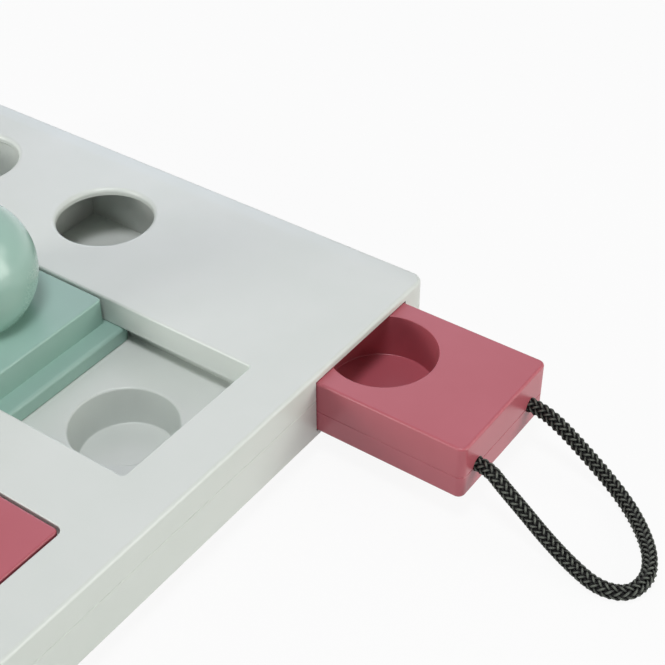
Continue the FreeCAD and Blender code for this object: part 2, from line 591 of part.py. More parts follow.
def make_drawer():
    """The drawer's upper half with its cups, its lower half and the screws between them."""
    block = rectangle(DRAWER_BACK, RIGHT, DRAWER_NEAR, DRAWER_FAR)
    inside = rectangle(f"{DRAWER_BACK} + drawer_wall", f"{RIGHT} - drawer_wall",
                       f"{DRAWER_NEAR} + drawer_wall", f"{DRAWER_FAR} - drawer_wall")
    cup_walls = [circle(x, DRAWER_MID, "drawer_cup_radius + cup_wall") for x in DRAWER_CUPS]
    cord_holes = [circle(f"{DRAWER_MID} + {side} * cord_spacing / 2", PARTING,
                         "cord_diameter / 2 + cord_clear") for side in (-1, 1)]
    face, behind = f"{RIGHT} + {OVERRUN}", f"{RIGHT} - drawer_wall - {OVERRUN} / 2"

    upper = Piece("drawer_body", DRAWER_SHIFT)
    outline = upper.pad("block", [block], PARTING, DRAWER_TOP)
    upper.round_posts("corners", "drawer_corner", outline)
    upper.soften("top_edge", "drawer_round", outline, DRAWER_TOP)
    under_plate = f"({DRAWER_TOP} - drawer_plate)"
    upper.pocket("hollow", [inside, *cup_walls], under_plate, f"{PARTING} - {OVERRUN}")
    upper.pad("cup_walls", cup_walls, DRAWER_CUP_UNDER, f"({PARTING} + {OVERRUN})")
    cups = upper.pocket("cups", [circle(x, DRAWER_MID, "drawer_cup_radius") for x in DRAWER_CUPS],
                        DRAWER_TOP, DRAWER_CUP_FLOOR)
    round_cups(upper, "cup_rims", "rim_round / 3", cups, DRAWER_TOP)
    round_cups(upper, "cup_feet", "cup_round / 2", cups, DRAWER_CUP_FLOOR)
    upper.pad("posts", [circle(x, y, "drawer_boss") for x, y in DRAWER_SCREWS],
              PARTING, f"({under_plate} + drawer_plate / 4)")
    upper.pocket("pilot_holes", [circle(x, y, "drawer_screw + screw_play") for x, y in DRAWER_SCREWS],
                 f"{PARTING} + drawer_bite + running_gap", f"{PARTING} - {OVERRUN}")
    upper.pocket("cord_holes", cord_holes, face, behind, role="YZ_Plane")

    lower = Piece("drawer_base", DRAWER_SHIFT)
    outline = lower.pad("block", [block], DRAWER_UNDER, PARTING)
    lower.round_posts("corners", "drawer_corner", outline)
    lower.soften("bottom_edge", "drawer_round", outline, DRAWER_UNDER)
    parting, face_start = level_of(PARTING), level_of(f"({RIGHT} - drawer_corner)")

    def on_face(edge):
        limits = edge.BoundBox
        return (abs(limits.ZMin - parting) < TOLERANCE and abs(limits.ZMax - parting) < TOLERANCE
                and limits.XMin > face_start - TOLERANCE)
    lower.dress("Chamfer", "parting_groove", "seam_chamfer", on_face)
    floor_top = f"({DRAWER_UNDER} + drawer_floor)"
    lower.pocket("hollow", [inside], PARTING, floor_top)
    lower.pad("posts", [circle(x, y, "drawer_boss") for x, y in DRAWER_SCREWS],
              f"({floor_top} - drawer_floor / 2)", PARTING)
    lower.pocket("screw_holes", [circle(x, y, "drawer_screw + screw_clear / 2") for x, y in DRAWER_SCREWS],
                 f"{PARTING} + {OVERRUN}", f"{DRAWER_UNDER} - {OVERRUN}")
    head_seat = f"({DRAWER_UNDER} + drawer_head_height + running_gap)"
    lower.pocket("head_seats", [circle(x, y, "drawer_head + screw_clear") for x, y in DRAWER_SCREWS],
                 head_seat, f"{DRAWER_UNDER} - {OVERRUN}")
    lower.pocket("cord_holes", cord_holes, face, behind, role="YZ_Plane")

    group("drawer_screws", [
        screw(f"drawer_screw_{index}", place, DRAWER_SHIFT,
              ("drawer_head", f"{head_seat} - drawer_head_height", "drawer_head_height", None),
              ("drawer_screw", head_seat, f"{PARTING} + drawer_bite - {head_seat}", None))
        for index, place in enumerate(DRAWER_SCREWS, start=1)])


def make_slider():
    """The sliding block on its captive plate, the ball knob and the screw that holds it."""
    half_plate, half_block = "(slider_plate / 2)", "(slider_block / 2)"
    plate_top = f"({SEAM} - running_gap)"
    slider = Piece("slider", SLIDER_SHIFT)
    outline = slider.pad("plate", [rectangle(f"-{half_plate}", half_plate,
                                             f"{WINDOW_NEAR} - slider_overlap",
                                             f"{WINDOW_FAR} + slider_overlap")],
                         f"({DECK} + running_gap)", plate_top)
    slider.round_posts("plate_corners", "slider_corner", outline)
    slider.soften("plate_edge", "slider_round", outline, plate_top)
    outline = slider.pad("block", [rectangle(f"-{half_block}", half_block, f"{WINDOW_NEAR} + block_gap",
                                             f"{WINDOW_FAR} - block_gap")],
                         f"({plate_top} - slider_wall)", BLOCK_TOP)
    slider.round_posts("block_corners", "slider_corner / 2", outline)
    slider.soften("block_edge", "rim_round", outline, BLOCK_TOP)
    ceiling = f"({BLOCK_TOP} - slider_wall)"
    slider.pocket("hollow", [rectangle(f"slider_wall - {half_block}", f"{half_block} - slider_wall",
                                       f"{WINDOW_NEAR} + block_gap + slider_wall",
                                       f"{WINDOW_FAR} - block_gap - slider_wall")], ceiling, DECK)
    slider.pad("post", [circle("0", WINDOW_MID, "slider_boss")], POST_UNDER,
               f"({ceiling} + slider_wall / 2)")
    slider.pocket("screw_hole", [circle("0", WINDOW_MID, "knob_screw + screw_clear")],
                  f"{BLOCK_TOP} + {OVERRUN}", f"{POST_UNDER} - {OVERRUN}")

    knob = Piece("ball_knob", SLIDER_SHIFT)
    ball = knob.body.newObject("PartDesign::AdditiveSphere", "ball_knob_ball")
    planes = {plane.Role: plane for plane in knob.body.Origin.OriginFeatures}
    ball.AttachmentSupport = [(planes["XY_Plane"], "")]
    ball.MapMode = "FlatFace"
    bind(ball, "Radius", "knob_radius")
    bind(ball, "AttachmentOffset.Base.y", WINDOW_MID)
    bind(ball, "AttachmentOffset.Base.z", KNOB_CENTRE)
    checked(ball)
    knob.pocket("seat", [circle("0", WINDOW_MID, f"knob_radius + {OVERRUN}")],
                BLOCK_TOP, f"{KNOB_CENTRE} - knob_radius - {OVERRUN}")
    knob.pocket("pilot_hole", [circle("0", WINDOW_MID, "knob_screw + screw_play")],
                f"{BLOCK_TOP} + knob_bite + running_gap", f"{BLOCK_TOP} - {OVERRUN}")

    fastener = screw("knob_screw", ("0", WINDOW_MID), SLIDER_SHIFT,
                     ("knob_screw_head", f"{POST_UNDER} - knob_screw_head_height",
                      "knob_screw_head_height", None),
                     ("knob_screw", POST_UNDER, f"{BLOCK_TOP} + knob_bite - {POST_UNDER}", None))
    fastener.Label = "knob_screw"
    sub_parts.append(fastener)


def make_flap(side, column):
    """One flush flap that rocks on a pin under it, and the pin."""
    flap = Piece(f"{side}_flap", BOARD_SHIFT)
    outline = flap.pad("plate", [rectangle(f"{column} - {FLAP_HALF}", f"{column} + {FLAP_HALF}",
                                           FLAP_NEAR, FLAP_FAR)], FLAP_UNDER, TOP)
    flap.round_posts("corners", "flap_corner", outline)
    flap.soften("top_edge", "rim_round", outline, TOP)
    flap.pad("barrel", [circle(PIVOT_Y, PIVOT_Z, "pin_radius + barrel_wall")],
             f"({column} - {FLAP_HALF} + open_gap)", f"({column} + {FLAP_HALF} - open_gap)", role="YZ_Plane")
    rib_end = f"({FLAP_FAR} - ledge_depth - 2 * open_gap)"
    ribs = [rectangle(f"{column} + {sign} * flap_width / 4 - flap_rib / 2",
                      f"{column} + {sign} * flap_width / 4 + flap_rib / 2", PIVOT_Y, rib_end)
            for sign in (-1, 1)]
    flap.pad("ribs", ribs, f"({FLAP_UNDER} - flap_rib)", f"({FLAP_UNDER} + flap_thick / 3)")
    flap.pocket("pin_bore", [circle(PIVOT_Y, PIVOT_Z, "pin_radius + pin_play")],
                f"({column} + {FLAP_HALF})", f"({column} - {FLAP_HALF})", role="YZ_Plane")

    pin = doc.addObject("Part::Cylinder", f"{side}_flap_pin")
    pin.Label = f"{side}_flap_pin"
    pin.Placement = Placement(Vector(), Rotation(Vector(0, 0, 1), Vector(1, 0, 0)))
    half_pin = f"({FLAP_HALF} + open_gap + ring_wall)"
    bind(pin, "Radius", "pin_radius")
    bind(pin, "Height", f"2 * {half_pin}")
    bind(pin, "Placement.Base.x", f"{column} - {half_pin} + {BOARD_SHIFT}")
    bind(pin, "Placement.Base.y", PIVOT_Y)
    bind(pin, "Placement.Base.z", PIVOT_Z)
    sub_parts.append(checked(pin))


def loop_points():
    """Return the loop's route at rest, from the back of one hole to the back of the other."""
    face = size("board_width") / 2 + size("drawer_out") / 2
    middle = size("board_length") / 2 - size("drawer_margin") - size("drawer_width") / 2
    hole_height = size("board_height") - size("drawer_drop") - size("drawer_parting")
    near, far = middle - size("cord_spacing") / 2, middle + size("cord_spacing") / 2
    behind, ahead = face - size("drawer_wall"), face + size("cord_lead")
    free = [Vector(face + out, middle + across, height) for out, across, height in LOOP_ROUTE]
    return [Vector(behind, near, hole_height), Vector(ahead, near, hole_height), *free,
            Vector(ahead, far, hole_height), Vector(behind, far, hole_height)]


def loop_path(points):
    """Join straight runs by tangent arcs and print each arc's radius."""
    runs = [(end - start).Length for start, end in zip(points, points[1:])]
    edges, last, radii = [], points[0], []
    for index in range(1, len(points) - 1):
        corner = points[index]
        back = (points[index - 1] - corner).normalize()
        ahead = (points[index + 1] - corner).normalize()
        turn = math.pi - back.getAngle(ahead)
        reach = ARC_SHARE * min(runs[index - 1], runs[index])
        radius = reach / math.tan(turn / 2)
        radii.append(radius)
        start, end = corner + back * reach, corner + ahead * reach
        bisector = (back + ahead).normalize()
        middle = corner + bisector * (math.hypot(radius, reach) - radius)
        if (start - last).Length > TOLERANCE:
            edges.append(Part.LineSegment(last, start).toShape())
        edges.append(Part.Arc(start, middle, end).toShape())
        last = end
    edges.append(Part.LineSegment(last, points[-1]).toShape())
    print("loop radii:", [round(radius, 1) for radius in radii])
    return Part.Wire(edges)


def make_pull_loop():
    """The braided loop on the drawer's face, and the knots that hold it from behind."""
    points = loop_points()
    path = loop_path(points)
    along = (points[1] - points[0]).normalize()
    section = Part.Wire(Part.Circle(points[0], along, size("cord_diameter") / 2).toShape())
    tube = path.makePipeShell([section], True, False)
    expected = math.pi * size("cord_diameter") ** 2 / 4 * path.Length
    print(f"loop length {path.Length:.1f}, volume over section by length {tube.Volume / expected:.4f}")
    loop = doc.addObject("Part::Feature", "pull_loop")
    loop.Label = "pull_loop"
    loop.Shape = tube
    sub_parts.append(checked(loop))

    wall_back = f"({RIGHT} - drawer_wall + {DRAWER_SHIFT})"
    for name, side in (("near_knot", -1), ("far_knot", 1)):
        knot = doc.addObject("Part::Sphere", name)
        knot.Label = name
        knot.Placement = Placement(Vector(), Rotation(Vector(0, 0, 1), Vector(1, 0, 0)))
        bind(knot, "Radius", "knot_radius")
        bind(knot, "Angle2", "knot_cut")
        bind(knot, "Placement.Base.x", f"{wall_back} - knot_radius * sin(knot_cut * 1 deg)")
        bind(knot, "Placement.Base.y", f"{DRAWER_MID} + {side} * cord_spacing / 2")
        bind(knot, "Placement.Base.z", PARTING)
        sub_parts.append(checked(knot))


def write_parts():
    """Check every object and sub-part, then write one file for each sub-part."""
    doc.recompute()
    failed = [thing.Label for thing in doc.Objects if {"Invalid", "Error"} & set(thing.State)]
    failed += [part.Label for part in sub_parts if part.Shape.isNull() or not part.Shape.isValid()]
    if failed:
        raise RuntimeError(f"failed: {failed}")
    os.makedirs("parts", exist_ok=True)
    for part in sub_parts:
        part.Shape.exportStep(f"parts/{part.Label}.step")
        print(f"{part.Label}: {len(part.Shape.Solids)} solids, {part.Shape.Volume / 1000:.1f} cm3")


make_top_shell()
make_base_tray()
make_bottom_cover()
make_feet_and_screws()
make_drawer()
make_slider()
for flap_side, flap_column in FLAP_COLUMNS.items():
    make_flap(flap_side, flap_column)
make_pull_loop()
write_parts()
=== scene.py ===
"""Looks of the cat puzzle feeder: finishes, braided pull loop, hardware, camera and light."""
import logging
import math
from dataclasses import dataclass, replace
from enum import Enum
from typing import Callable, Sequence

import bmesh
import bpy
from mathutils import Matrix, Vector


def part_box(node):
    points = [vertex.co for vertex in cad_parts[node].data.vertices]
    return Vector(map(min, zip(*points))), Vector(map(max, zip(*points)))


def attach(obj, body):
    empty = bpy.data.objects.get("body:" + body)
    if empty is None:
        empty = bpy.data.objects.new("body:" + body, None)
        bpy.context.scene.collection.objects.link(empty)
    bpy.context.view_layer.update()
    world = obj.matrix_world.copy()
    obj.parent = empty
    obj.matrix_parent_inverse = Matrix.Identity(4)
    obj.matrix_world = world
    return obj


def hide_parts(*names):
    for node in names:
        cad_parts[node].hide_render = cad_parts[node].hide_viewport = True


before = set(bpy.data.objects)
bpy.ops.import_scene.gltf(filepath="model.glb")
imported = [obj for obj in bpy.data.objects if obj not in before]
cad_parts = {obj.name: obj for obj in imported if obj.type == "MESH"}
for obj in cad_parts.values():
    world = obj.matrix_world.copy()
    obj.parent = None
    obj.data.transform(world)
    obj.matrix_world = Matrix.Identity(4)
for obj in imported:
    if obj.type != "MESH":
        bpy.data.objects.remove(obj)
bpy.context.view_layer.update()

MM = 0.001
LOG = logging.getLogger("feeder")

SCREEN_STEPS = 255
SCREEN_LINEAR_UP_TO = 0.04045
SCREEN_LINEAR_SLOPE = 12.92
SCREEN_OFFSET = 0.055
SCREEN_POWER = 2.4

MIX_FIRST, MIX_SECOND, MIX_RESULT = 6, 7, 2
NOISE_MIDDLE = 0.5
SAME_PLACE = 0.01 * MM
SQUARE_ON = 0.9
FLAT_ON = 0.99

SENSOR_WIDTH = 36.0
FOCAL_LENGTH_PIXELS = 1398.14
PICTURE_PIXELS = 665.0


class Slot(Enum):
    """Material slots of the new pieces."""

    CORD = "black_cord"
    RUBBER = "foot_rubber"
    STEEL = "screw_steel"


class Socket:
    """A shader value that takes part in Python expressions."""

    def __init__(self, shader: "Shader", source: object) -> None:
        """Wrap one output.

        Args:
            shader: The material that the output belongs to.
            source: The node socket.
        """
        self.shader = shader
        self.source = source

    def maths(self, operation: str, *values: object) -> "Socket":
        """Run one Math node.

        Args:
            operation: The node's operation.
            values: Its inputs, in order; this value alone where none is given.

        Returns:
            The node's output.
        """
        return self.shader.node("ShaderNodeMath", {"operation": operation},
                                dict(enumerate(values or (self,))))

    def __add__(self, other: object) -> "Socket":
        """Return the sum."""
        return self.maths("ADD", self, other)

    def __radd__(self, other: float) -> "Socket":
        """Return the sum with a number first."""
        return self.maths("ADD", other, self)

    def __sub__(self, other: object) -> "Socket":
        """Return the difference."""
        return self.maths("SUBTRACT", self, other)

    def __rsub__(self, other: float) -> "Socket":
        """Return a number less this value."""
        return self.maths("SUBTRACT", other, self)

    def __mul__(self, other: object) -> "Socket":
        """Return the product."""
        return self.maths("MULTIPLY", self, other)

    def __rmul__(self, other: float) -> "Socket":
        """Return the product with a number first."""
        return self.maths("MULTIPLY", other, self)

    def __pow__(self, other: float) -> "Socket":
        """Return the power."""
        return self.maths("POWER", self, other)

class Shader:
    """The node tree of one material or world."""

    def __init__(self, holder: bpy.types.ID, output: str = "ShaderNodeOutputMaterial") -> None:
        """Start an empty node tree with its output.

        Args:
            holder: The material or world.
            output: The type of its output node.
        """
        self.holder = holder
        holder.use_nodes = True
        self.tree = holder.node_tree
        self.tree.nodes.clear()
        self.output = self.tree.nodes.new(output)

    @classmethod
    def material(cls, name: str) -> "Shader":
        """Make a new material with an empty node tree.

        Args:
            name: The material's name.

        Returns:
            Its node tree.
        """
        return cls(bpy.data.materials.new(name))

    def node(self, kind: str, settings: dict, inputs: dict, output: object = 0) -> Socket:
        """Add one node.

        Args:
            kind: The node's type.
            settings: Properties, set first; a ramp's stops go under "stops".
            inputs: Values or sockets by the input's name or number.
            output: The name or number of the wanted output.

        Returns:
            That output.
        """
        node = self.tree.nodes.new(kind)
        for key, value in settings.items():
            if key == "stops":
                self.set_stops(node, value)
            else:
                setattr(node, key, value)
        for key, value in inputs.items():
            if isinstance(value, Socket):
                self.tree.links.new(value.source, node.inputs[key])
            else:
                node.inputs[key].default_value = value
        return Socket(self, node.outputs[output])

    @staticmethod
    def set_stops(node: bpy.types.Node, stops: Sequence[tuple]) -> None:
        """Set a ramp's stops.

        Args:
            node: The ramp.
            stops: Place and value of each stop.
        """
        elements = node.color_ramp.elements
        while len(elements) < len(stops):
            elements.new(1.0)
        for element, (place, value) in zip(elements, stops):
            element.position = place
            element.color = (value, value, value, 1.0)

    def place(self) -> Socket:
        """Return the object coordinates."""
        return self.node("ShaderNodeTexCoord", {}, {}, "Object")

    def noise(self, vector: Socket, grain: float, detail: float = 2.0,
              rough: float = 0.5) -> Socket:
        """Return fractal noise.

        Args:
            vector: Where it is read.
            grain: Size of its grains in metres.
            detail: Octaves.
            rough: Strength of the finer octaves.

        Returns:
            The noise from 0 to 1.
        """
        return self.node("ShaderNodeTexNoise", {}, {"Vector": vector, "Scale": 1.0 / grain,
                                                    "Detail": detail, "Roughness": rough})

    def ramp(self, value: Socket, stops: Sequence[tuple]) -> Socket:
        """Map a value through a ramp.

        Args:
            value: The value.
            stops: Place and value of each stop.

        Returns:
            The mapped value.
        """
        return self.node("ShaderNodeValToRGB", {"stops": stops}, {0: value})

    def mix(self, factor: object, first: object, second: object) -> Socket:
        """Mix two colours.

        Args:
            factor: Share of the second.
            first: Colour or socket.
            second: Colour or socket.

        Returns:
            The mixed colour.
        """
        return self.node("ShaderNodeMix", {"data_type": "RGBA"},
                         {0: factor, MIX_FIRST: first, MIX_SECOND: second}, MIX_RESULT)

    def bump(self, height: Socket, depth: float, strength: float = 1.0,
             base: Socket | None = None) -> Socket:
        """Return a normal raised by a height.

        Args:
            height: The height from 0 to 1.
            depth: Its full depth in metres.
            strength: The node's strength.
            base: A normal to start from.

        Returns:
            The normal.
        """
        under = {"Normal": base} if base else {}
        return self.node("ShaderNodeBump", {}, {"Height": height, "Distance": depth,
                                                "Strength": strength, **under})

    def surface(self, **inputs: object) -> None:
        """Finish the material with one principled surface.

        Args:
            inputs: Its inputs, with underscores for spaces.
        """
        named = {key.replace("_", " "): value for key, value in inputs.items()}
        self.close(self.node("ShaderNodeBsdfPrincipled", {}, named))

    def seen(self, most: float, mirrored: float) -> Socket:
        """Return a share for the rays that meet plain white.

        Args:
            most: The share that rays from the camera and through glass get.
            mirrored: The share that rays off gloss get.

        Returns:
            The share; all other rays get none.
        """
        camera, gloss, through = (self.node("ShaderNodeLightPath", {}, {}, f"Is {kind} Ray")
                                  for kind in ("Camera", "Glossy", "Transmission"))
        straight = camera.maths("MAXIMUM", camera, through)
        return camera.maths("MAXIMUM", most * straight, mirrored * gloss)

    def close(self, shade: Socket) -> None:
        """Lead a shader to the output's surface.

        Args:
            shade: The shader.
        """
        self.tree.links.new(shade.source, self.output.inputs["Surface"])


def colour(red: float, green: float, blue: float) -> tuple:
    """Return a linear colour from one read on the screen.

    Args:
        red: Red from 0 to 255.
        green: Green from 0 to 255.
        blue: Blue from 0 to 255.

    Returns:
        The linear colour with full alpha.
    """
    parts = [value / SCREEN_STEPS for value in (red, green, blue)]
    return tuple(part / SCREEN_LINEAR_SLOPE if part <= SCREEN_LINEAR_UP_TO
                 else ((part + SCREEN_OFFSET) / (1 + SCREEN_OFFSET)) ** SCREEN_POWER
                 for part in parts) + (1.0,)


@dataclass(frozen=True)
class MouldedPlastic:
    """A moulded plastic with a fine satin grain."""

    name: str
    tone: tuple
    second_tone: tuple
    roughness: float = 0.32
    grain: float = 0.35 * MM
    depth: float = 0.012 * MM
    coat: float = 0.0
    coat_roughness: float = 0.18
    roll: tuple = ()
    roll_power: float = 1.3
    cloud_grain: float = 28.0 * MM
    cloud_edges: tuple = ((0.3, 0.0), (0.7, 1.0))
    cloud_roughness: float = 0.10
    fine_roughness: float = 0.06
    flow_grain: float = 6.0 * MM
    flow_share: float = 0.5
    bump_strength: float = 0.6

    def rolled(self, shader: Shader, place: Socket) -> Socket:
        """Return the normal of a plate that rolls off gently towards its far and near edge.

        Args:
            shader: The material.
            place: The object coordinates.

        Returns:
            The normal.
        """
        edge, width, drop = self.roll
        along = shader.node("ShaderNodeSeparateXYZ", {}, {"Vector": place}, "Y")
        past = (along.maths("ABSOLUTE") - (edge - width)) * (1.0 / width)
        share = past.maths("MAXIMUM", past, 0.0)
        return shader.bump(1.0 - share ** self.roll_power, drop)

    def build(self) -> bpy.types.Material:
        """Return the material."""
        shader = Shader.material(self.name)
        place = shader.place()
        cloud = shader.noise(place, self.cloud_grain, detail=3.0, rough=0.55)
        fine = shader.noise(place, self.grain, rough=0.6)
        flow = shader.noise(place, self.flow_grain)
        share = shader.ramp(cloud, self.cloud_edges)
        base = self.rolled(shader, place) if self.roll else None
        shader.surface(
            Base_Color=shader.mix(share, self.tone, self.second_tone),
            Roughness=self.roughness + self.cloud_roughness * (cloud - NOISE_MIDDLE)
            + self.fine_roughness * (fine - NOISE_MIDDLE),
            Specular_IOR_Level=0.5,
            Coat_Weight=self.coat,
            Coat_Roughness=self.coat_roughness,
            Normal=shader.bump(fine + self.flow_share * flow, self.depth, self.bump_strength,
                               base),
        )
        return shader.holder


@dataclass(frozen=True)
class Yarn:
    """A filament yarn with painted shade between its stitches and a painted highlight on their
    tops.
    """

    name: str
    # Colour of the painted shade laid in the valleys between the yarns.
    valley_painted_shade: tuple
    tone: tuple
    # Colour of the painted highlight laid on the tops of the yarns.
    light: tuple
    # Heights where the painted shade gives way to the yarn's tone, and where the painted highlight
    # starts.
    painted_shade_edges: tuple = ((0.48, 0.0), (0.84, 1.0))
    painted_highlight_edges: tuple = ((0.64, 0.0), (0.96, 1.0))
    filament_grain: float = 0.30 * MM
    filament_stretch: float = 3.0 * MM
    filament_rise: float = 0.35
    filament_share: float = 0.7
    fuzz_grain: float = 0.16 * MM
    fuzz_share: float = 0.3
    uneven_grain: float = 1.3 * MM
    uneven_rise: float = 0.3
    roughness: float = 0.72
    sheen: float = 0.2
    depth: float = 0.06 * MM
    bump_strength: float = 0.9

    def build(self) -> bpy.types.Material:
        """Return the material."""
        shader = Shader.material(self.name)
        strand = shader.node("ShaderNodeUVMap", {"uv_map": "UVMap"}, {})
        drawn = shader.node("ShaderNodeMapping", {},
                            {"Vector": strand, "Scale": (1.0, self.filament_stretch, 1.0)})
        filament = shader.noise(drawn, self.filament_grain, detail=3.0, rough=0.65)
        fuzz = shader.noise(shader.place(), self.fuzz_grain, rough=0.6)
        rise = shader.node("ShaderNodeAttribute", {"attribute_name": "rise"}, {}, "Fac")
        uneven = shader.noise(shader.place(), self.uneven_grain)
        height = (rise + self.filament_rise * (filament - NOISE_MIDDLE)
                  + self.uneven_rise * (uneven - NOISE_MIDDLE))
        # Painted shade: the low places of the braid get the near-black colour, the higher ones the
        # yarn's tone.
        body = shader.mix(shader.ramp(height, self.painted_shade_edges), self.valley_painted_shade, self.tone)
        # Painted highlight: the tops of the stitches get the pale grey colour.
        painted_highlight_share = shader.ramp(height, self.painted_highlight_edges)
        relief = filament * self.filament_share + fuzz * self.fuzz_share
        shader.surface(
            Base_Color=shader.mix(painted_highlight_share, body, self.light),
            Roughness=self.roughness - self.sheen * filament,
            Specular_IOR_Level=0.35,
            Normal=shader.bump(relief, self.depth, self.bump_strength),
        )
        return shader.holder


@dataclass(frozen=True)
class Rubber:
    """A soft matt rubber."""

    name: str
    tone: tuple
    dust_grain: float = 1.6 * MM
    dust_gain: float = 1.6
    dust_lift: float = 0.01
    roughness: float = 0.72
    dust_roughness: float = 0.2
    grain: float = 0.2 * MM
    depth: float = 0.02 * MM

    def build(self) -> bpy.types.Material:
        """Return the material."""
        shader = Shader.material(self.name)
        place = shader.place()
        dust = shader.noise(place, self.dust_grain, detail=4.0, rough=0.6)
        pale = tuple(min(1.0, part * self.dust_gain + self.dust_lift)
                     for part in self.tone[:3]) + (1.0,)
        shader.surface(
            Base_Color=shader.mix(dust, self.tone, pale),
            Roughness=self.roughness + self.dust_roughness * (dust - NOISE_MIDDLE),
            Specular_IOR_Level=0.3,
            Normal=shader.bump(shader.noise(place, self.grain), self.depth),
        )
        return shader.holder


@dataclass(frozen=True)
class PlatedSteel:
    """Zinc-plated steel with a faint mottle."""

    name: str
    tone: tuple
    mottle_grain: float = 0.9 * MM
    dull_share: float = 0.72
    roughness: float = 0.24
    mottle_roughness: float = 0.22
    grain: float = 0.12 * MM
    depth: float = 0.004 * MM

    def build(self) -> bpy.types.Material:
        """Return the material."""
        shader = Shader.material(self.name)
        place = shader.place()
        mottle = shader.noise(place, self.mottle_grain, detail=4.0, rough=0.65)
        dull = tuple(part * self.dull_share for part in self.tone[:3]) + (1.0,)
        shader.surface(
            Base_Color=shader.mix(mottle, self.tone, dull),
            Metallic=1.0,
            Roughness=self.roughness + self.mottle_roughness * mottle,
            Normal=shader.bump(shader.noise(place, self.grain), self.depth),
        )
        return shader.holder


GREY_PLASTIC = MouldedPlastic("grey_plastic", colour(214, 219, 215), colour(210, 216, 211))
SHELL_PLASTIC = replace(GREY_PLASTIC, name="shell_plastic",
                        roll=(125.0 * MM, 6.0 * MM, 0.60 * MM))
PINK_PLASTIC = MouldedPlastic("pink_plastic", colour(181, 93, 104), colour(176, 89, 99))
MINT_PLASTIC = MouldedPlastic("mint_plastic", colour(150, 183, 173), colour(146, 179, 168))
MINT_GLOSS = MouldedPlastic("mint_gloss", colour(155, 188, 177), colour(151, 184, 172),
                            roughness=0.26, depth=0.004 * MM, coat=0.45)
# Near-black painted shade, the cord's own dark grey tone, and a pale grey painted highlight.
BLACK_CORD = Yarn("black_cord", colour(3, 3, 3), colour(27, 28, 26), colour(98, 103, 95))
FOOT_RUBBER = Rubber("foot_rubber", colour(46, 47, 47))
SCREW_STEEL = PlatedSteel("screw_steel", colour(196, 196, 190))


def placed(name: str, data: bpy.types.ID) -> bpy.types.Object:
    """Put a new object in the scene.

    Args:
        name: Its name.
        data: Its mesh, camera or light.

    Returns:
        The object.
    """
    item = bpy.data.objects.new(name, data)
    bpy.context.scene.collection.objects.link(item)
    return item


def select(*items: bpy.types.Object) -> None:
    """Select these objects alone and make the first one active.

    Args:
        items: The objects.
    """
    bpy.ops.object.select_all(action="DESELECT")
    for item in items:
        item.select_set(True)
    bpy.context.view_layer.objects.active = items[0]


class Piece:
    """Shared work on scene objects."""

    @staticmethod
    def finish(item: bpy.types.Object, material: bpy.types.Material, slot: Slot, body: str,
               *nodes: str) -> bpy.types.Object:
        """Dress a new piece and join it to the frame.

        Args:
            item: The piece.
            material: Its finish.
            slot: Not used.
            body: The body that it rides on.
            nodes: The CAD nodes that it stands for.

        Returns:
            The piece.
        """
        item.data.materials.clear()
        item.data.materials.append(material)
        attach(item, body)
        if nodes:
            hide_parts(*nodes)
        LOG.info("piece %s rides on %s", item.name, body)
        return item

    @staticmethod
    def dress(node: str, material: bpy.types.Material) -> None:
        """Give a CAD node its finish.

        Args:
            node: The node's name.
            material: The finish.
        """
        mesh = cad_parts[node].data
        mesh.materials.clear()
        mesh.materials.append(material)
        LOG.info("node %s wears %s", node, material.name)


